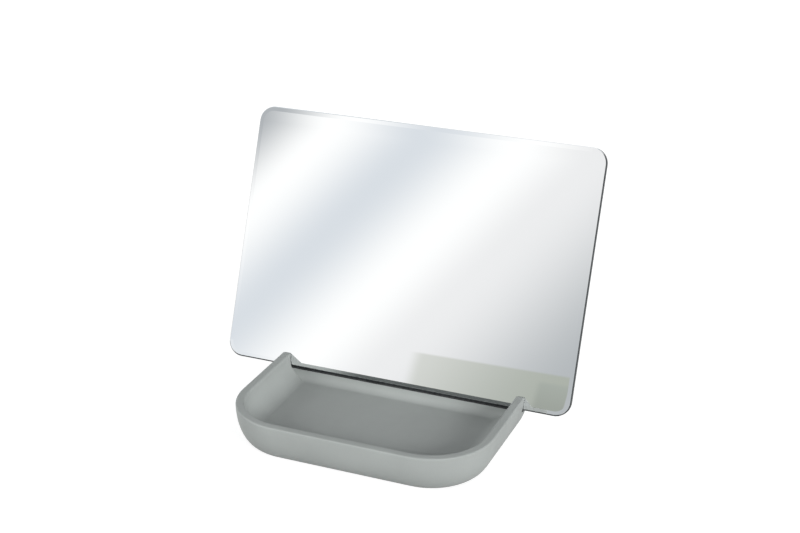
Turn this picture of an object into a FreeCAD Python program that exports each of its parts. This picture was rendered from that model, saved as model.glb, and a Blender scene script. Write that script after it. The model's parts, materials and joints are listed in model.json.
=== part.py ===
"""Vanity mirror standing in the slot of a low jewellery tray.

Units are millimetres.  +X is to the right and +Y to the back of somebody who sits in front of the mirror, +Z is up.
The origin is the middle of the tray's resting face, on the table.

The tray is a shallow dish, rounded at its two front corners.  A slot runs right across its back, open at both ends,
and leans backwards.  The mirror stands in that slot and lifts out along the lean.  The dish runs back to the mirror,
so the slot has a front wall only in the two narrow shoulders beside the dish.  Under the dish a steel plate keeps the
tray from tipping.  A screwed cover with an anti-slip pad closes it in.
"""

import FreeCAD
import Part

import math
import os

from FreeCAD import Vector

# ---------------------------------------------------------------- mirror
MIRROR_WIDTH = 190.0
MIRROR_HEIGHT = 134.0
MIRROR_CORNER_R = 8.0
GLASS_THICK = 3.0
BEVEL_WIDTH = 2.0            # shallow bevel all round the front face
BEVEL_DEPTH = 0.25
GLASS_CHAMFER = 0.4          # ground all round, at the edge of the bevel and of the back
SILVER_THICK = 0.15
BACKING_THICK = 0.85
BACKING_SETBACK = 0.6        # the backing sheet stops this far inside the glass
LEAN_DEG = 21.5              # how far the mirror leans back from upright
MIRROR_SHIFT = -4.5          # it stands a little to the left in its open slot

# ---------------------------------------------------------------- tray
TRAY_WIDTH = 134.0
TRAY_DEPTH = 100.0
TRAY_HEIGHT = 20.0           # from the moulding's underside to the flat rim
FRONT_CORNER_R = 32.0
REAR_CORNER_R = 20.0
BASE_INSET = 9.0             # the outer wall curves in by this much from rim to base
RIM_WIDTH = 4.6              # from the outer wall to the dish's wall
RIM_ROUND_OUTER = 0.8
RIM_ROUND_INNER = 1.2
DISH_DEPTH = 12.0
DISH_COVE_R = 10.5           # where the side and front walls meet the floor
DISH_REAR_COVE_R = 4.0       # where the low wall under the mirror meets the floor
MIRROR_SETBACK = 75.0        # from the tray's front edge to the mirror's foot
MIRROR_SINK = 6.3            # the mirror's foot stands this far below the rim

# ---------------------------------------------------------------- slot and its liner
SLOT_FRONT_GAP = 0.3
SLOT_CHAMFER = 0.5           # along both edges of the slot's mouth
LINER_THICK = 0.8
LINER_GAP = 0.2              # between the liner and the mirror that rests on it
LINER_END_GAP = 3.0          # the liner stops this far inside the tray's sides
LINER_TOP_DROP = 1.2         # and this far below the rim, along the lean

# ---------------------------------------------------------------- underside
FLOOR_THICK = 2.5            # dish floor above the pocket
COVER_THICK = 2.2
BASE_LIP = 2.5               # ring of the moulding that stands round the cover
COVER_GAP = 0.25
LEDGE_WIDTH = 3.0            # the cover is screwed up against this ledge
BALLAST_GAP = 0.75           # round the steel plate
BALLAST_TOP_GAP = 0.2        # above it
PAD_THICK = 1.0
PAD_BORDER = 1.5             # cover left bare round the pad
PAD_EDGE_R = 0.4

# ---------------------------------------------------------------- screws
BOSS_D = 7.0
BOSS_BURIED = 1.0            # each boss runs this far into the pocket's wall
BOSS_ROOF = 1.2              # dish floor left above a pilot hole
SCREW_D = 2.2
SCREW_FIT = 0.04             # on the diameter, in the pilot hole
SCREW_TIP_GAP = 0.4          # the pilot hole runs on past the screw's tip
SCREW_TIP = 0.8              # length of the pointed end
HEAD_D = 4.2
HEAD_HEIGHT = 1.1
HEAD_SINK = 0.2              # head below the cover's face
HEAD_POCKET_GAP = 0.6        # on the diameter, round the head
COVER_HOLE_GAP = 0.3         # on the diameter, round the shank
DRIVE_LENGTH = 2.4           # cross recess in the head
DRIVE_WIDTH = 0.5
DRIVE_DEPTH = 0.6

# ---------------------------------------------------------------- worked out from the sizes above
BASE_Z = PAD_THICK
RIM_Z = BASE_Z + TRAY_HEIGHT
FLOOR_Z = RIM_Z - DISH_DEPTH
LEDGE_Z = BASE_Z + COVER_THICK
POCKET_TOP_Z = FLOOR_Z - FLOOR_THICK
FRONT_Y = -TRAY_DEPTH / 2
FOOT_Y = FRONT_Y + MIRROR_SETBACK
FOOT_Z = RIM_Z - MIRROR_SINK
MIRROR_THICK = GLASS_THICK + SILVER_THICK + BACKING_THICK
SEAT_DEPTH = LINER_GAP + LINER_THICK
SLOT_BACK = MIRROR_THICK + SEAT_DEPTH

RECESS_INSET = BASE_INSET + BASE_LIP
COVER_INSET = RECESS_INSET + COVER_GAP
PAD_INSET = COVER_INSET + PAD_BORDER
POCKET_INSET = RECESS_INSET + LEDGE_WIDTH
BALLAST_INSET = POCKET_INSET + BALLAST_GAP
BOSS_INSET = POCKET_INSET + BOSS_D / 2 - BOSS_BURIED
HEAD_SEAT_Z = BASE_Z + HEAD_SINK + HEAD_HEIGHT
PILOT_TOP_Z = FLOOR_Z - BOSS_ROOF
SCREW_TOP_Z = PILOT_TOP_Z - SCREW_TIP_GAP

LEAN = math.radians(LEAN_DEG)
UP = Vector(0, 0, 1)
PANE_UP = Vector(0, math.sin(LEAN), math.cos(LEAN))
PANE_BACK = Vector(0, math.cos(LEAN), -math.sin(LEAN))
CLEAR_OF_TRAY = TRAY_WIDTH + TRAY_DEPTH
SMALLEST_CORNER_R = 1.5      # for an outline set in by more than its corner
SHORTEST_WALL = 0.2          # upright stretch that a cove leaves of its wall
ARC_MIDDLE = 1 - math.sqrt(0.5)
QUARTER_DEG = 90
TOUCHING = 1e-6


# ---------------------------------------------------------------- wires and solids
def line(start, end):
    return Part.LineSegment(start, end).toShape()


def quarter(centre, radius, start_deg, lift):
    """Quarter circle, anticlockwise; lift turns flat coordinates into a point in space."""
    points = []
    for turn in (0, 45, 90):
        angle = math.radians(start_deg + turn)
        points.append(lift(centre[0] + radius * math.cos(angle), centre[1] + radius * math.sin(angle)))
    return Part.Arc(*points).toShape()


def chain(arcs, closed=True):
    """Arcs in order with straight edges between them, as one wire."""
    edges = [arcs[0]]
    following = arcs[1:]
    if closed:
        following = following + arcs[:1]
    for arc in following:
        start = edges[-1].lastVertex(True).Point
        end = arc.firstVertex(True).Point
        if start.distanceToPoint(end) > TOUCHING:
            edges.append(line(start, end))
        edges.append(arc)
    if closed:
        edges.pop()
    return Part.Wire(edges)


def corner_radius(radius, inset):
    return max(radius - inset, SMALLEST_CORNER_R)


def tray_outline(inset, z):
    """Outline of the tray seen from above, set in by inset; it starts where the left side meets the front corner."""
    side = TRAY_WIDTH / 2 - inset
    end = TRAY_DEPTH / 2 - inset
    front = corner_radius(FRONT_CORNER_R, inset)
    rear = corner_radius(REAR_CORNER_R, inset)

    def lift(x, y):
        return Vector(x, y, z)

    return chain([
        quarter((front - side, front - end), front, 180, lift),
        quarter((side - front, front - end), front, 270, lift),
        quarter((side - rear, end - rear), rear, 0, lift),
        quarter((rear - side, end - rear), rear, 90, lift),
    ])


def pane_outline(inset):
    """Outline of the mirror, set in by inset, upright in the plane y = 0 with its foot at z = 0."""
    side = MIRROR_WIDTH / 2 - inset
    radius = corner_radius(MIRROR_CORNER_R, inset)
    low = inset + radius
    high = MIRROR_HEIGHT - inset - radius

    def lift(x, z):
        return Vector(x, 0, z)

    return chain([
        quarter((side - radius, high), radius, 0, lift),
        quarter((radius - side, high), radius, 90, lift),
        quarter((radius - side, low), radius, 180, lift),
        quarter((side - radius, low), radius, 270, lift),
    ])


def sweep(section, path):
    """Section face carried along a level path of straight runs and quarter circles that meet smoothly."""
    solids = []
    for edge in path.Edges:
        start = edge.firstVertex(True).Point
        end = edge.lastVertex(True).Point
        if edge.Curve.TypeId == "Part::GeomCircle":
            centre = edge.Curve.Center
            solids.append(section.revolve(centre, UP, QUARTER_DEG))
            section = section.copy()
            section.rotate(centre, UP, QUARTER_DEG)
        else:
            solids.append(section.extrude(end - start))
            section = section.translated(end - start)
    return solids[0].fuse(solids[1:])


def plate(inset, low, high):
    """Slab with the tray's outline, set in by inset, between two heights."""
    return Part.Face(tray_outline(inset, low)).extrude(UP * (high - low))


def cylinder(diameter, low, high, place):
    return Part.makeCylinder(diameter / 2, high - low, Vector(place[0], place[1], low))


def beside(y, z):
    """Point of a section that extrude_across carries over the whole tray."""
    return Vector(-CLEAR_OF_TRAY, y, z)


def extrude_across(section):
    return Part.Face(section).extrude(Vector(2 * CLEAR_OF_TRAY, 0, 0))


def in_slot(back, up, x=-CLEAR_OF_TRAY):
    """Point measured from the mirror's foot: backwards from its face, and up along it."""
    return Vector(x, FOOT_Y, FOOT_Z) + PANE_BACK * back + PANE_UP * up


def up_to_rim(back):
    """Distance up along the mirror to the height of the rim, at this distance behind its face."""
    return (MIRROR_SINK + back * math.sin(LEAN)) / math.cos(LEAN)


def stand(shape):
    """Put an upright piece of the mirror into the slot."""
    shape.rotate(Vector(0, 0, 0), Vector(1, 0, 0), -LEAN_DEG)
    shape.translate(Vector(MIRROR_SHIFT, FOOT_Y, FOOT_Z))
    return shape


# ---------------------------------------------------------------- tray
def tray_body():
    """Solid outer form: flat rim, and a wall that is upright at the rim and curves in to the base."""
    ring = (BASE_INSET + min(FRONT_CORNER_R, REAR_CORNER_R)) / 2
    side = -TRAY_WIDTH / 2
    start_y = FRONT_Y + FRONT_CORNER_R
    wall_top = RIM_Z - RIM_ROUND_OUTER

    def at(inset, z):
        return Vector(side + inset, start_y, z)

    ellipse = Part.Ellipse(at(BASE_INSET, BASE_Z), at(0, wall_top), at(BASE_INSET, wall_top))
    wall = Part.ArcOfEllipse(ellipse, 0, math.pi / 2).toShape()
    shoulder = RIM_ROUND_OUTER * ARC_MIDDLE
    rim_round = Part.Arc(at(0, wall_top), at(shoulder, RIM_Z - shoulder), at(RIM_ROUND_OUTER, RIM_Z)).toShape()
    section = Part.Wire([
        line(at(ring, BASE_Z), at(BASE_INSET, BASE_Z)),
        wall,
        rim_round,
        line(at(RIM_ROUND_OUTER, RIM_Z), at(ring, RIM_Z)),
        line(at(ring, RIM_Z), at(ring, BASE_Z)),
    ])
    skirt = sweep(Part.Face(section), tray_outline(0, BASE_Z))
    return skirt.fuse(plate(ring, BASE_Z, RIM_Z)).removeSplitter()


def dish_run(inset):
    """Path at floor height along the left side, the front and the right side, set in by inset."""
    side = TRAY_WIDTH / 2
    corner_x = side - FRONT_CORNER_R
    corner_y = FRONT_Y + FRONT_CORNER_R
    radius = FRONT_CORNER_R - inset

    def lift(x, y):
        return Vector(x, y, FLOOR_Z)

    return Part.Wire([
        line(lift(inset - side, CLEAR_OF_TRAY), lift(inset - side, corner_y)),
        quarter((-corner_x, corner_y), radius, 180, lift),
        line(lift(-corner_x, corner_y - radius), lift(corner_x, corner_y - radius)),
        quarter((corner_x, corner_y), radius, 270, lift),
        line(lift(side - inset, corner_y), lift(side - inset, CLEAR_OF_TRAY)),
    ])


def endless_dish():
    """The hollow's front and sides, coved at the floor and rounded at the rim, running on far behind the tray."""
    cove_r = min(DISH_COVE_R, DISH_DEPTH - RIM_ROUND_INNER - SHORTEST_WALL)
    cove_end = RIM_WIDTH + cove_r
    ring = (cove_end + FRONT_CORNER_R) / 2
    rim_inset = RIM_WIDTH - RIM_ROUND_INNER
    above = RIM_Z + DISH_DEPTH

    def at(inset, z):
        return Vector(inset - TRAY_WIDTH / 2, CLEAR_OF_TRAY, z)

    cove_middle = at(RIM_WIDTH + cove_r * ARC_MIDDLE, FLOOR_Z + cove_r * ARC_MIDDLE)
    rim_middle = at(RIM_WIDTH - RIM_ROUND_INNER * ARC_MIDDLE, RIM_Z - RIM_ROUND_INNER * ARC_MIDDLE)
    wall_low = at(RIM_WIDTH, FLOOR_Z + cove_r)
    wall_high = at(RIM_WIDTH, RIM_Z - RIM_ROUND_INNER)
    section = Part.Wire([
        line(at(ring, FLOOR_Z), at(cove_end, FLOOR_Z)),
        Part.Arc(at(cove_end, FLOOR_Z), cove_middle, wall_low).toShape(),
        line(wall_low, wall_high),
        Part.Arc(wall_high, rim_middle, at(rim_inset, RIM_Z)).toShape(),
        line(at(rim_inset, RIM_Z), at(rim_inset, above)),
        line(at(rim_inset, above), at(ring, above)),
        line(at(ring, above), at(ring, FLOOR_Z)),
    ])
    skirt = sweep(Part.Face(section), dish_run(0))
    inner = dish_run(ring)
    closing = line(inner.Edges[-1].lastVertex(True).Point, inner.Edges[0].firstVertex(True).Point)
    core = Part.Face(Part.Wire(inner.Edges + [closing])).extrude(UP * (above - FLOOR_Z))
    return skirt.fuse(core).removeSplitter()


def dish():
    """The hollow, with the low wall at its back that stops at the slot's floor; above that it opens into the slot."""
    wall_top = in_slot(-SLOT_FRONT_GAP, -SEAT_DEPTH)
    cove_r = min(DISH_REAR_COVE_R, wall_top.z - FLOOR_Z - SHORTEST_WALL)
    cove_start = beside(wall_top.y - cove_r, FLOOR_Z)
    cove_middle = beside(wall_top.y - cove_r * ARC_MIDDLE, FLOOR_Z + cove_r * ARC_MIDDLE)
    cove_end = beside(wall_top.y, FLOOR_Z + cove_r)
    slot_middle = MIRROR_THICK / 2
    in_slot_low = in_slot(slot_middle, -SEAT_DEPTH)
    in_slot_high = in_slot(slot_middle, 2 * up_to_rim(slot_middle))
    far_low = beside(-CLEAR_OF_TRAY, FLOOR_Z)
    far_high = beside(-CLEAR_OF_TRAY, in_slot_high.z)
    limit = Part.Wire([
        line(far_low, cove_start),
        Part.Arc(cove_start, cove_middle, cove_end).toShape(),
        line(cove_end, wall_top),
        line(wall_top, in_slot_low),
        line(in_slot_low, in_slot_high),
        line(in_slot_high, far_high),
        line(far_high, far_low),
    ])
    return endless_dish().common(extrude_across(limit))


def slot():
    """Leaning slot across the tray, with both edges of its mouth chamfered."""
    front = -SLOT_FRONT_GAP
    back = SLOT_BACK
    high = 2 * up_to_rim(back)
    front_rim = in_slot(front, up_to_rim(front))
    back_rim = in_slot(back, up_to_rim(back))
    section = Part.makePolygon([
        in_slot(front, -SEAT_DEPTH),
        in_slot(back, -SEAT_DEPTH),
        in_slot(back, up_to_rim(back) - SLOT_CHAMFER),
        back_rim + Vector(0, SLOT_CHAMFER, 0),
        in_slot(back + SLOT_CHAMFER, high),
        in_slot(front - SLOT_CHAMFER, high),
        front_rim - Vector(0, SLOT_CHAMFER, 0),
        in_slot(front, up_to_rim(front) - SLOT_CHAMFER),
        in_slot(front, -SEAT_DEPTH),
    ])
    return extrude_across(section)


def screw_places():
    """One screw near each corner, and one at the middle of the front and of the back."""
    side = TRAY_WIDTH / 2 - BOSS_INSET
    end = TRAY_DEPTH / 2 - BOSS_INSET
    front_step = corner_radius(FRONT_CORNER_R, BOSS_INSET) * ARC_MIDDLE
    rear_step = corner_radius(REAR_CORNER_R, BOSS_INSET) * ARC_MIDDLE
    return [
        (front_step - side, front_step - end),
        (0, -end),
        (side - front_step, front_step - end),
        (rear_step - side, end - rear_step),
        (0, end),
        (side - rear_step, end - rear_step),
    ]


def tray_shell():
    shell = tray_body().cut(dish()).cut(slot())
    shell = shell.cut(plate(RECESS_INSET, BASE_Z, LEDGE_Z))
    shell = shell.cut(plate(POCKET_INSET, LEDGE_Z, POCKET_TOP_Z))
    bosses = [cylinder(BOSS_D, LEDGE_Z, POCKET_TOP_Z, place) for place in screw_places()]
    shell = shell.fuse(bosses).removeSplitter()
    for place in screw_places():
        shell = shell.cut(cylinder(SCREW_D + SCREW_FIT, LEDGE_Z, PILOT_TOP_Z, place))
    return shell


def slot_liner():
    """Rubber strip of L section: under the mirror's foot and up behind its back."""
    length = TRAY_WIDTH - 2 * LINER_END_GAP
    start = -length / 2
    back = SLOT_BACK
    rest = back - LINER_THICK
    top = up_to_rim(back) - LINER_TOP_DROP
    section = Part.makePolygon([
        in_slot(0, -SEAT_DEPTH, start),
        in_slot(back, -SEAT_DEPTH, start),
        in_slot(back, top, start),
        in_slot(rest, top, start),
        in_slot(rest, -LINER_GAP, start),
        in_slot(0, -LINER_GAP, start),
        in_slot(0, -SEAT_DEPTH, start),
    ])
    return Part.Face(section).extrude(Vector(length, 0, 0))


# ---------------------------------------------------------------- underside
def base_cover():
    cover = plate(COVER_INSET, BASE_Z, LEDGE_Z)
    for place in screw_places():
        cover = cover.cut(cylinder(SCREW_D + COVER_HOLE_GAP, BASE_Z, LEDGE_Z, place))
        cover = cover.cut(cylinder(HEAD_D + HEAD_POCKET_GAP, BASE_Z, HEAD_SEAT_Z, place))
    return cover


def ballast_plate():
    """Steel plate lying on the cover, with a bite taken out round every boss."""
    top = POCKET_TOP_Z - BALLAST_TOP_GAP
    ballast = plate(BALLAST_INSET, LEDGE_Z, top)
    for place in screw_places():
        ballast = ballast.cut(cylinder(BOSS_D + 2 * BALLAST_GAP, LEDGE_Z, top, place))
    return ballast


def cover_screws():
    screws = []
    for place in screw_places():
        head_low = HEAD_SEAT_Z - HEAD_HEIGHT
        x, y = place
        head = cylinder(HEAD_D, head_low, HEAD_SEAT_Z, place)
        shank = cylinder(SCREW_D, HEAD_SEAT_Z, SCREW_TOP_Z - SCREW_TIP, place)
        tip = Part.makeCone(SCREW_D / 2, SCREW_D / 4, SCREW_TIP, Vector(x, y, SCREW_TOP_Z - SCREW_TIP))
        screw = head.fuse([shank, tip]).removeSplitter()
        for wide, deep in ((DRIVE_LENGTH, DRIVE_WIDTH), (DRIVE_WIDTH, DRIVE_LENGTH)):
            corner = Vector(x - wide / 2, y - deep / 2, head_low)
            screw = screw.cut(Part.makeBox(wide, deep, DRIVE_DEPTH, corner))
        screws.append(screw)
    return Part.Compound(screws)


def anti_slip_pad():
    pad = plate(PAD_INSET, 0, PAD_THICK)
    lower_edges = [edge for edge in pad.Edges if edge.BoundBox.ZMax < TOUCHING]
    return pad.makeFillet(PAD_EDGE_R, lower_edges)


# ---------------------------------------------------------------- mirror
def pane(inset, front, thick):
    """Upright sheet of the mirror's outline, from front backwards."""
    sheet = Part.Face(pane_outline(inset)).extrude(Vector(0, thick, 0))
    sheet.translate(Vector(0, front, 0))
    return sheet


def pane_taper(front_inset, front, back_inset, back):
    """Slice of the mirror whose outline narrows evenly from one face to the other."""
    faces = []
    for inset, depth in ((front_inset, front), (back_inset, back)):
        face = pane_outline(inset)
        face.translate(Vector(0, depth, 0))
        faces.append(face)
    return Part.makeLoft(faces, True, True)


def mirror_glass():
    edge_front = BEVEL_DEPTH + GLASS_CHAMFER
    edge_back = GLASS_THICK - GLASS_CHAMFER
    glass = pane_taper(BEVEL_WIDTH + GLASS_CHAMFER, 0, GLASS_CHAMFER, BEVEL_DEPTH)
    glass = glass.fuse(pane_taper(GLASS_CHAMFER, BEVEL_DEPTH, 0, edge_front))
    glass = glass.fuse(pane(0, edge_front, edge_back - edge_front))
    glass = glass.fuse(pane_taper(0, edge_back, GLASS_CHAMFER, GLASS_THICK))
    return stand(glass.removeSplitter())


def mirror_silver():
    return stand(pane(GLASS_CHAMFER, GLASS_THICK, SILVER_THICK))


def mirror_backing():
    return stand(pane(BACKING_SETBACK, GLASS_THICK + SILVER_THICK, BACKING_THICK))


# ---------------------------------------------------------------- one file for each piece
PIECES = {
    "tray_shell": tray_shell,
    "slot_liner": slot_liner,
    "ballast_plate": ballast_plate,
    "base_cover": base_cover,
    "cover_screws": cover_screws,
    "anti_slip_pad": anti_slip_pad,
    "mirror_glass": mirror_glass,
    "mirror_silver": mirror_silver,
    "mirror_backing": mirror_backing,
}


def main():
    os.makedirs("parts", exist_ok=True)
    for name, make in PIECES.items():
        shape = make()
        shape.exportStep("parts/" + name + ".step")
        box = shape.BoundBox
        print(f"{name}: {len(shape.Solids)} solid, valid {shape.isValid()}, {shape.Volume:.0f} mm3,"
              f" x {box.XMin:.1f} to {box.XMax:.1f}, y {box.YMin:.1f} to {box.YMax:.1f},"
              f" z {box.ZMin:.2f} to {box.ZMax:.2f}")


main()
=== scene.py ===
"""Vanity mirror standing in the slot of a low tray: finishes, studio and camera.

Lengths are in metres, in the part's own frame: +X to its right, +Y to its back, +Z up.
"""

import json
import math

import bpy
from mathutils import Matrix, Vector

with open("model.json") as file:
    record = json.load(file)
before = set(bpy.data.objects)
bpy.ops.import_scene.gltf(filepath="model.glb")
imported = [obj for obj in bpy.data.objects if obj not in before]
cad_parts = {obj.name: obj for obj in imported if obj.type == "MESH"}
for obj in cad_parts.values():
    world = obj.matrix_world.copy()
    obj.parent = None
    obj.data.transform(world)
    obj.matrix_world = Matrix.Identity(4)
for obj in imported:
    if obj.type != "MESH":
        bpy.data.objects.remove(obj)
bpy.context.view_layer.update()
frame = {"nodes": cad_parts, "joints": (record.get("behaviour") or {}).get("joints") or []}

# ------------------------------------------------------------ the mirror, from the frame
UP = Vector((0.0, 0.0, 1.0))
RIGHT = Vector((1.0, 0.0, 0.0))
LIFT = next(joint for joint in frame["joints"] if joint["name"] == "mirror_lift")
PANE_UP = Vector(LIFT["axis"])                     # along the leaning mirror
PANE_BACK = PANE_UP.cross(RIGHT)                   # square to it, away from its face
GLASS_VERTICES = frame["nodes"]["mirror_glass"].data.vertices
GLASS_FACE = min(PANE_BACK.dot(vertex.co) for vertex in GLASS_VERTICES)
BEVEL_DEPTH = 0.00025                              # from the face to the bevel's outer edge

# ------------------------------------------------------------ camera, fitted to the mirror's corners
CAMERA_PLACE = Vector((0.27623, -0.63333, 0.38456))
CAMERA_PITCH = math.radians(23.0)                  # below level
CAMERA_YAW = math.radians(22.717)                  # turned to the left of +Y
CAMERA_LENS = 70.34                                # mm
SENSOR_WIDTH = 36.0                                # mm

# ------------------------------------------------------------ floor, world and lamps
FLOOR_HALF = 6.0
FLOOR_Z = -0.0001                                  # just under the part
FLOOR_GREYS = ((0.36, 0.36, 0.36), (0.38, 0.38, 0.38))
WHITE_REACH = (0.35, 1.2)                          # between these distances the floor turns plain white
WHITE_LEVELS = (0.80, 1.0)                         # what it adds to its lit grey, near and far
MIRRORED_REACH = (0.2, 4.0)
MIRRORED_LEVELS = (0.62, 0.84)                     # its grey in the mirror, near and far

WORLD_TINT = (0.97, 0.99, 1.0)
WORLD_LEVELS = (0.62, 0.20)                        # its light, near the horizon and overhead
WAVE_DIRECTION = (0.76, 0.52, 0.38)                # the world's grey bands follow each other this way
WAVE_RATE = 11.0

LAMPS = {
    "key": {"place": (1.65, -1.0, 0.62), "aim": (0.0, 0.0, 0.03), "size": (0.8, 0.6), "watts": 43.5},
    "fill": {"place": (-1.45, -1.05, 0.50), "aim": (0.0, 0.0, 0.03), "size": (1.1, 0.8), "watts": 24.5},
    "back": {"place": (0.10, 1.60, 0.45), "aim": (0.0, 0.05, 0.05), "size": (0.7, 0.6), "watts": 11.0},
}

# ------------------------------------------------------------ card that the mirror reflects
CARD_HALF = 1.0
CARD_DISTANCE = 1.3
CARD_FROM = Vector((-0.0038, 0.0554, 0.0865))      # near the middle of the mirror's face
CARD_AIM = (CARD_FROM - CAMERA_PLACE).reflect(PANE_BACK).normalized()
CARD_GLOW = 1.06
CARD_FADE = (0.70, 0.98)                           # its pattern fades over this share of CARD_HALF

# The mirror's face shows a slanted four-sided part of the card. On the card's own x and y, this part
# ends at two values of x + SIDE_SKEW * y and at two values of y + FOOT_SKEW * x.
SIDE_SKEW = -0.121
FOOT_SKEW = 0.1425
FACE_SIDES = (-0.234, 0.231)
FACE_HEIGHTS = (-0.217, 0.126)
BAND_TURN = math.radians(30.0)                     # the bands run this far off upright
BAND_HALF = 0.30                                   # from the middle of the row of bands to its end

# A low strip, a painted reflection on the card, shows in the mirror near its foot. Each pair says where
# an edge of it begins and ends: the upper edges in y + STRIP_SKEW * x, and the side edges in x.
STRIP_SKEW = 0.115
STRIP_TOP = (-0.1545, -0.1575)
STRIP_START = (-0.036, -0.058)
STRIP_END = (-0.256, -0.2575)
VEIL_REACH = (-0.04, -0.24)
VEIL_STRENGTHS = (0.36, 0.57)                      # how much of the bands it hides, from start to end
BLOCK_TOP = (-0.165, -0.172)                       # a darker painted block of reflection stands in the strip's end
BLOCK_FOOT = (-0.17, -0.20)
BLOCK_START = (-0.210, -0.222)
BLOCK_STRENGTH = 0.9

PAINTED_FOOT_SHADE_DEPTHS = (0.84, 0.88)                    # shares of the bevel's depth where its end is darkened with a painted line of shade


# ------------------------------------------------------------ node helpers
class Nodes:
    """A material's or world's node tree, built by short calls.

    Each call that makes a value returns the output socket that holds it.
    """

    def __init__(self, owner):
        owner.use_nodes = True
        self.tree = owner.node_tree
        self.tree.nodes.clear()

    def add(self, kind, **settings):
        node = self.tree.nodes.new(kind)
        for name, value in settings.items():
            setattr(node, name, value)
        return node

    def link(self, source, target):
        self.tree.links.new(source, target)

    def put(self, value, socket):
        """Gives a socket a number, a colour or another node's output."""
        if isinstance(value, bpy.types.NodeSocket):
            self.link(value, socket)
        elif isinstance(value, tuple):
            socket.default_value = (*value, 1.0)
        else:
            socket.default_value = value

    def noise(self, coords, scale, detail, rough):
        node = self.add("ShaderNodeTexNoise")
        self.link(coords, node.inputs["Vector"])
        self.put(scale, node.inputs["Scale"])
        self.put(detail, node.inputs["Detail"])
        self.put(rough, node.inputs["Roughness"])
        return node.outputs["Fac"]

    def ramp(self, fac, stops, interpolation="LINEAR"):
        """Colour by place, where stops are pairs of a place and a colour."""
        node = self.add("ShaderNodeValToRGB")
        node.color_ramp.interpolation = interpolation
        elements = node.color_ramp.elements
        while len(elements) < len(stops):
            elements.new(0.5)
        for element, (place, colour) in zip(elements, stops):
            element.position = place
            element.color = (*colour, 1.0)
        self.link(fac, node.inputs["Fac"])
        return node.outputs["Color"]

    def math(self, operation, a, b=0.0):
        node = self.add("ShaderNodeMath", operation=operation)
        self.put(a, node.inputs[0])
        self.put(b, node.inputs[1])
        return node.outputs[0]

    def product(self, first, *others):
        for other in others:
            first = self.math("MULTIPLY", first, other)
        return first

    def skewed(self, a, skew, b):
        """a + skew * b."""
        return self.math("ADD", a, self.product(b, skew))

    def along(self, direction, vector):
        """How far a vector reaches in one direction."""
        node = self.add("ShaderNodeVectorMath", operation="DOT_PRODUCT")
        self.link(vector, node.inputs[0])
        node.inputs[1].default_value = direction
        return node.outputs["Value"]

    def span(self, value, given, wanted=(0.0, 1.0), smooth=False):
        """Maps the given range to the wanted one, and holds the wanted one's ends beyond it."""
        node = self.add("ShaderNodeMapRange", interpolation_type="SMOOTHSTEP" if smooth else "LINEAR")
        self.link(value, node.inputs["Value"])
        self.put(given[0], node.inputs["From Min"])
        self.put(given[1], node.inputs["From Max"])
        self.put(wanted[0], node.inputs["To Min"])
        self.put(wanted[1], node.inputs["To Max"])
        return node.outputs["Result"]

    def mix(self, fac, a, b):
        """Colour a where fac is 0 and colour b where it is 1."""
        node = self.add("ShaderNodeMix", data_type="RGBA")
        self.link(fac, node.inputs[0])
        self.put(a, node.inputs[6])
        self.put(b, node.inputs[7])
        return node.outputs[2]

    def bump(self, height, strength, distance, normal=None):
        node = self.add("ShaderNodeBump")
        self.link(height, node.inputs["Height"])
        self.put(strength, node.inputs["Strength"])
        self.put(distance, node.inputs["Distance"])
        if normal is not None:
            self.link(normal, node.inputs["Normal"])
        return node.outputs["Normal"]

    def ray_is(self, *kinds):
        """1 for a ray of any of these kinds, such as Camera or Glossy."""
        path = self.add("ShaderNodeLightPath")
        total = path.outputs[f"Is {kinds[0]} Ray"]
        for kind in kinds[1:]:
            total = self.math("MAXIMUM", total, path.outputs[f"Is {kind} Ray"])
        return total

    def pick(self, fac, a, b):
        """Shader a where fac is 0 and shader b where it is 1."""
        node = self.add("ShaderNodeMixShader")
        self.link(fac, node.inputs[0])
        self.link(a.outputs[0], node.inputs[1])
        self.link(b.outputs[0], node.inputs[2])
        return node

    def finish(self, shader, kind="ShaderNodeOutputMaterial"):
        self.link(shader.outputs[0], self.add(kind).inputs["Surface"])


def srgb(*rgb):
    """Linear colour of three sRGB numbers out of 255."""
    linear = []
    for value in rgb:
        part = value / 255.0
        linear.append(part / 12.92 if part <= 0.04045 else ((part + 0.055) / 1.055) ** 2.4)
    return tuple(linear)


def new_material(name):
    """A material with its nodes, the part's coordinates and a Principled shader."""
    material = bpy.data.materials.new(name)
    nodes = Nodes(material)
    coords = nodes.add("ShaderNodeTexCoord").outputs["Object"]
    shader = nodes.add("ShaderNodeBsdfPrincipled")
    nodes.finish(shader)
    return material, nodes, coords, shader


# ------------------------------------------------------------ materials
def tray_plastic():
    """Satin moulded plastic: faint cloudiness, pale specks, fine grain and slightly duller patches."""
    material, n, coords, shader = new_material("tray_plastic")
    shader.inputs["Specular IOR Level"].default_value = 0.3
    cloud = n.noise(coords, scale=38.0, detail=3.0, rough=0.55)
    speck = n.noise(coords, scale=1500.0, detail=2.0, rough=0.6)
    base = n.ramp(cloud, [(0.3, srgb(147, 151, 149)), (0.7, srgb(153, 157, 155))])
    base = n.mix(n.span(speck, (0.35, 0.65), (0.0, 0.06)), base, srgb(172, 176, 174))
    n.link(base, shader.inputs["Base Color"])
    dull = n.noise(coords, scale=90.0, detail=4.0, rough=0.6)
    n.link(n.span(dull, (0.3, 0.7), (0.40, 0.50)), shader.inputs["Roughness"])
    flow = n.noise(coords, scale=60.0, detail=2.0, rough=0.5)
    grain = n.noise(coords, scale=2600.0, detail=3.0, rough=0.6)
    normal = n.bump(flow, strength=0.10, distance=0.0004)
    normal = n.bump(grain, strength=0.22, distance=0.00004, normal=normal)
    n.link(normal, shader.inputs["Normal"])
    return material


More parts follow.
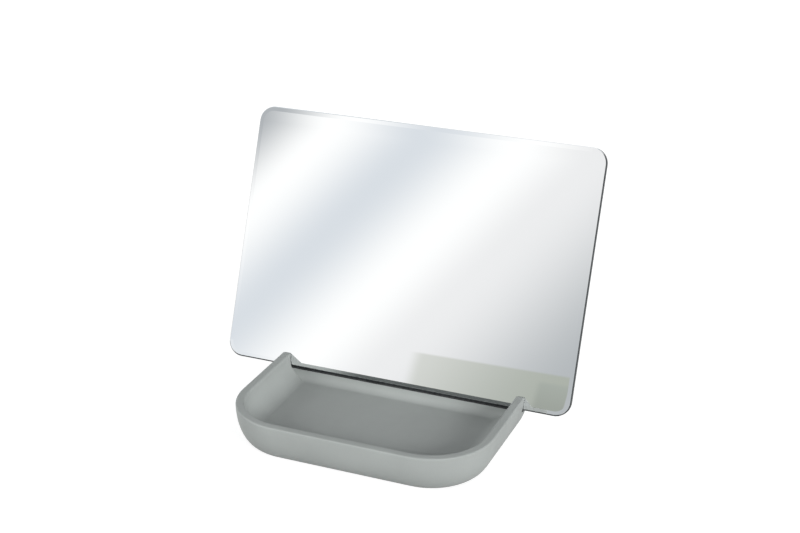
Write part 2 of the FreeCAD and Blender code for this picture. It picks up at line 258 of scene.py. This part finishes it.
def cover_plastic():
    """Darker cover with the coarser grain of a spark-eroded mould."""
    material, n, coords, shader = new_material("cover_plastic")
    cloud = n.noise(coords, scale=55.0, detail=3.0, rough=0.5)
    base = n.ramp(cloud, [(0.3, srgb(82, 85, 85)), (0.7, srgb(92, 95, 95))])
    n.link(base, shader.inputs["Base Color"])
    n.link(n.span(cloud, (0.3, 0.7), (0.55, 0.66)), shader.inputs["Roughness"])
    grain = n.noise(coords, scale=1600.0, detail=2.0, rough=0.7)
    n.link(n.bump(grain, strength=0.5, distance=0.00008), shader.inputs["Normal"])
    return material


def black_rubber():
    """Matt rubber with a little dust on it."""
    material, n, coords, shader = new_material("black_rubber")
    dust = n.noise(coords, scale=130.0, detail=5.0, rough=0.65)
    base = n.ramp(dust, [(0.35, srgb(34, 35, 36)), (0.75, srgb(58, 59, 60))])
    n.link(base, shader.inputs["Base Color"])
    n.link(n.span(dust, (0.3, 0.7), (0.72, 0.86)), shader.inputs["Roughness"])
    grain = n.noise(coords, scale=2200.0, detail=2.0, rough=0.7)
    n.link(n.bump(grain, strength=0.45, distance=0.00006), shader.inputs["Normal"])
    return material


def sheet_steel(name, tone, spangle_scale, stretch):
    """Plated steel with spangle and drawn lines."""
    material, n, coords, shader = new_material(name)
    shader.inputs["Metallic"].default_value = 1.0
    cells = n.add("ShaderNodeTexVoronoi")
    n.put(spangle_scale, cells.inputs["Scale"])
    n.link(coords, cells.inputs["Vector"])
    low = tuple(0.86 * value for value in tone)
    base = n.ramp(cells.outputs["Color"], [(0.2, low), (0.9, tone)])
    n.link(base, shader.inputs["Base Color"])
    mapping = n.add("ShaderNodeMapping")
    mapping.inputs["Scale"].default_value = (1.0, stretch, 1.0)
    n.link(coords, mapping.inputs["Vector"])
    lines = n.noise(mapping.outputs[0], scale=160.0, detail=4.0, rough=0.6)
    n.link(n.span(lines, (0.3, 0.7), (0.26, 0.40)), shader.inputs["Roughness"])
    n.link(n.bump(lines, strength=0.2, distance=0.00005), shader.inputs["Normal"])
    return material


def silvered_glass():
    """Glass silvered behind: a mirror on its face and bevel, and ground grey glass at its edge.

    The narrow chamfer round the bevel mirrors too where it faces up or left, and is dark ground glass
    where it faces down or right: painted shade.
    A painted dark line of shade runs along the foot, on the outer end of the bevel.
    """
    material, n, coords, shader = new_material("silvered_glass")
    shader.inputs["Specular IOR Level"].default_value = 0.2
    normal = n.add("ShaderNodeNewGeometry").outputs["True Normal"]

    forward = n.along(-PANE_BACK, normal)
    face_and_bevel = n.span(forward, (0.85, 0.95))
    with_chamfer = n.span(forward, (0.45, 0.6))
    # painted shade: the chamfer mirrors only where it faces up or left, and turns dark ground glass
    # where it faces down or right
    painted_lit_up_and_left = n.span(n.along(PANE_UP - RIGHT, normal), (-0.2, 0.3))
    mirror = n.math("MAXIMUM", face_and_bevel, n.product(with_chamfer, painted_lit_up_and_left))

    # painted shade: a dark line on the outer end of the bevel, where it faces down along the foot
    depths = [GLASS_FACE + share * BEVEL_DEPTH for share in PAINTED_FOOT_SHADE_DEPTHS]
    bevel_end = n.span(n.along(PANE_BACK, coords), depths)
    painted_foot_shade = n.product(bevel_end, n.span(n.along(-PANE_UP, normal), (0.08, 0.115)))
    mirror = n.product(mirror, n.math("SUBTRACT", 1.0, painted_foot_shade))
    n.link(mirror, shader.inputs["Metallic"])

    haze = n.noise(coords, scale=12.0, detail=2.0, rough=0.5)
    silver = n.ramp(haze, [(0.2, (0.945, 0.955, 0.955)), (0.8, (0.955, 0.963, 0.963))])
    grind = n.noise(coords, scale=700.0, detail=3.0, rough=0.6)
    edge = n.ramp(grind, [(0.3, srgb(48, 51, 52)), (0.7, srgb(62, 65, 66))])
    n.link(n.mix(mirror, edge, silver), shader.inputs["Base Color"])
    ground = n.span(grind, (0.3, 0.7), (0.24, 0.36))
    n.link(n.product(ground, n.math("SUBTRACT", 1.0, mirror)), shader.inputs["Roughness"])
    return material


def silver_coat():
    """Bright silver behind the glass, with a faint haze."""
    material, n, coords, shader = new_material("silver_coat")
    shader.inputs["Metallic"].default_value = 1.0
    shader.inputs["Roughness"].default_value = 0.0
    haze = n.noise(coords, scale=12.0, detail=2.0, rough=0.5)
    base = n.ramp(haze, [(0.2, (0.955, 0.962, 0.965)), (0.8, (0.972, 0.976, 0.976))])
    n.link(base, shader.inputs["Base Color"])
    return material


def backing_plastic():
    """Grey safety sheet on the back of the mirror: fine ripple and scuffs."""
    material, n, coords, shader = new_material("backing_plastic")
    cloud = n.noise(coords, scale=45.0, detail=4.0, rough=0.6)
    base = n.ramp(cloud, [(0.3, srgb(74, 77, 79)), (0.7, srgb(84, 87, 89))])
    scuff = n.span(n.noise(coords, scale=210.0, detail=6.0, rough=0.75), (0.62, 0.72))
    n.link(n.mix(n.product(scuff, 0.25), base, srgb(120, 123, 125)), shader.inputs["Base Color"])
    n.link(n.span(cloud, (0.3, 0.7), (0.46, 0.58)), shader.inputs["Roughness"])
    ripple = n.noise(coords, scale=900.0, detail=3.0, rough=0.7)
    n.link(n.bump(ripple, strength=0.3, distance=0.00006), shader.inputs["Normal"])
    return material


def dress(node, material):
    """Gives a CAD node its finish."""
    mesh = frame["nodes"][node].data
    if not mesh.materials:
        mesh.materials.append(material)
    for index in range(len(mesh.materials)):
        mesh.materials[index] = material


rubber = black_rubber()
dress("tray_shell", tray_plastic())
dress("slot_liner", rubber)
dress("anti_slip_pad", rubber)
dress("base_cover", cover_plastic())
dress("ballast_plate", sheet_steel("zinc_steel", (0.62, 0.63, 0.64), spangle_scale=130.0, stretch=14.0))
dress("cover_screws", sheet_steel("screw_steel", (0.55, 0.55, 0.56), spangle_scale=900.0, stretch=3.0))
dress("mirror_glass", silvered_glass())
dress("mirror_silver", silver_coat())
dress("mirror_backing", backing_plastic())


# ------------------------------------------------------------ studio
def flat_square(name, half, z=0.0):
    """A level square about the origin that isn't part of the object."""
    corners = [(-half, -half, z), (half, -half, z), (half, half, z), (-half, half, z)]
    mesh = bpy.data.meshes.new(name)
    mesh.from_pydata(corners, [], [(0, 1, 2, 3)])
    square = bpy.data.objects.new(name, mesh)
    bpy.context.scene.collection.objects.link(square)
    return square


def studio_floor():
    """White floor that keeps the part's shadow and turns plain white farther out.

    In the mirror and other gloss it is a plain pale grey.
    """
    floor = flat_square("floor", FLOOR_HALF, FLOOR_Z)
    material = bpy.data.materials.new("floor_white")
    floor.data.materials.append(material)
    n = Nodes(material)
    coords = n.add("ShaderNodeTexCoord").outputs["Object"]
    reach = n.add("ShaderNodeVectorMath", operation="LENGTH")
    n.link(coords, reach.inputs[0])
    distance = reach.outputs["Value"]

    cloud = n.noise(coords, scale=3.0, detail=2.0, rough=0.5)
    matt = n.add("ShaderNodeBsdfDiffuse")
    n.link(n.ramp(cloud, list(zip((0.3, 0.7), FLOOR_GREYS))), matt.inputs["Color"])
    white = n.span(distance, WHITE_REACH, WHITE_LEVELS, smooth=True)
    glow = n.add("ShaderNodeEmission")
    n.link(n.product(n.ray_is("Camera"), white), glow.inputs["Strength"])
    lit = n.add("ShaderNodeAddShader")
    n.link(matt.outputs[0], lit.inputs[0])
    n.link(glow.outputs[0], lit.inputs[1])

    mirrored = n.add("ShaderNodeEmission")
    n.link(n.span(distance, MIRRORED_REACH, MIRRORED_LEVELS, smooth=True), mirrored.inputs["Strength"])
    n.finish(n.pick(n.ray_is("Glossy", "Transmission"), lit, mirrored))


def studio_world():
    """White all round to the camera, with faint grey bands in it to the mirror."""
    world = bpy.data.worlds.new("studio")
    bpy.context.scene.world = world
    n = Nodes(world)
    ray = n.add("ShaderNodeTexCoord").outputs["Generated"]

    wave = n.math("SINE", n.product(n.along(WAVE_DIRECTION, ray), WAVE_RATE))
    grey = n.product(n.span(wave, (-0.6, 0.9), (0.4, 1.0), smooth=True), n.ray_is("Glossy"))
    shown = n.add("ShaderNodeBackground")
    n.link(n.mix(grey, (1.0, 1.0, 1.0), srgb(212, 217, 222)), shown.inputs["Color"])

    light = n.add("ShaderNodeBackground")
    n.put(WORLD_TINT, light.inputs["Color"])
    n.link(n.span(n.along(UP, ray), (0.1, 1.0), WORLD_LEVELS), light.inputs["Strength"])
    n.finish(n.pick(n.ray_is("Camera", "Glossy", "Transmission"), light, shown), "ShaderNodeOutputWorld")


def soft_bands(n, x, y):
    """Light and grey bands that slant across the face.

    The bevel looks past what the face shows. There each band goes on with the tone that it ends in.
    """
    sideways = n.span(n.skewed(x, SIDE_SKEW, y), FACE_SIDES, FACE_SIDES)
    upwards = n.span(n.skewed(y, FOOT_SKEW, x), FACE_HEIGHTS, FACE_HEIGHTS)
    turn_x, turn_y = math.cos(BAND_TURN), math.sin(BAND_TURN)
    spread = 1.0 - SIDE_SKEW * FOOT_SKEW
    across = n.product(sideways, (turn_x - FOOT_SKEW * turn_y) / spread)
    across = n.skewed(across, (turn_y - SIDE_SKEW * turn_x) / spread, upwards)
    return n.ramp(n.span(across, (-BAND_HALF, BAND_HALF)), [
        (0.02, srgb(180, 184, 187)),
        (0.34, srgb(236, 236, 237)),
        (0.47, srgb(255, 255, 255)),
        (0.64, srgb(216, 221, 227)),
        (0.80, srgb(255, 255, 255)),
        (0.94, srgb(172, 176, 180)),
    ], "EASE")


def with_painted_reflection_strip(n, x, y, bands):
    """The bands with a painted reflection over their lowest end: a grey-green veil, and a darker block
    in the veil.
    """
    # painted reflection: a grey-green strip and a darker block on the card, which the mirror shows near
    # its foot
    level = n.skewed(y, STRIP_SKEW, x)
    start = n.span(x, STRIP_START, smooth=True)
    end = n.span(x, STRIP_END, (1.0, 0.0))
    strip = n.product(n.span(level, STRIP_TOP), start, end)
    veil = n.product(strip, n.span(x, VEIL_REACH, VEIL_STRENGTHS))
    block_top = n.span(level, BLOCK_TOP, smooth=True)
    block_start = n.span(x, BLOCK_START, smooth=True)
    block = n.product(strip, block_top, block_start, BLOCK_STRENGTH)
    painted_block_tone = n.mix(n.span(level, BLOCK_FOOT), srgb(165, 171, 164), srgb(156, 161, 154))
    return n.mix(block, n.mix(veil, bands, srgb(165, 171, 152)), painted_block_tone)


def reflected_card():
    """Card seen only in the mirror, square to the camera's line of sight once that is reflected."""
    card = flat_square("reflected_card", CARD_HALF)
    across = CARD_AIM.cross(UP).normalized()
    rise = across.cross(CARD_AIM).normalized()
    turn = card.matrix_world.copy()
    for column, axis in enumerate((across, rise, across.cross(rise))):
        for row in range(3):
            turn[row][column] = axis[row]
    turn.translation = CARD_FROM + CARD_AIM * CARD_DISTANCE
    card.matrix_world = turn
    card.visible_camera = False
    card.visible_diffuse = False
    card.visible_shadow = False
    card.visible_volume_scatter = False

    material = bpy.data.materials.new("soft_bands")
    card.data.materials.append(material)
    n = Nodes(material)
    place = n.add("ShaderNodeSeparateXYZ")
    n.link(n.add("ShaderNodeTexCoord").outputs["Object"], place.inputs[0])
    x, y = place.outputs["X"], place.outputs["Y"]
    middle = with_painted_reflection_strip(n, x, y, soft_bands(n, x, y))
    rim = n.math("MAXIMUM", n.math("ABSOLUTE", x), n.math("ABSOLUTE", y))
    fade = n.span(rim, [share * CARD_HALF for share in CARD_FADE], smooth=True)
    glow = n.add("ShaderNodeEmission")
    n.link(n.mix(fade, middle, srgb(226, 229, 232)), glow.inputs["Color"])
    n.put(CARD_GLOW, glow.inputs["Strength"])
    n.finish(glow)


def soft_lamp(name, place, aim, size, watts):
    """Rectangular lamp that lights the part and isn't seen, either directly or in gloss."""
    data = bpy.data.lights.new(name, "AREA")
    data.shape = "RECTANGLE"
    data.size, data.size_y = size
    data.energy = watts
    light = bpy.data.objects.new(name, data)
    light.location = place
    light.rotation_euler = (Vector(aim) - Vector(place)).to_track_quat("-Z", "Y").to_euler()
    light.visible_glossy = False
    light.visible_camera = False
    bpy.context.scene.collection.objects.link(light)


def camera():
    data = bpy.data.cameras.new("camera")
    data.lens = CAMERA_LENS
    data.sensor_width = SENSOR_WIDTH
    view = bpy.data.objects.new("camera", data)
    view.location = CAMERA_PLACE
    view.rotation_euler = (math.pi / 2 - CAMERA_PITCH, 0.0, CAMERA_YAW)
    bpy.context.scene.collection.objects.link(view)
    bpy.context.scene.camera = view


studio_floor()
studio_world()
reflected_card()
for name, settings in LAMPS.items():
    soft_lamp(name, **settings)
camera()
bpy.context.scene.view_settings.view_transform = "Standard"
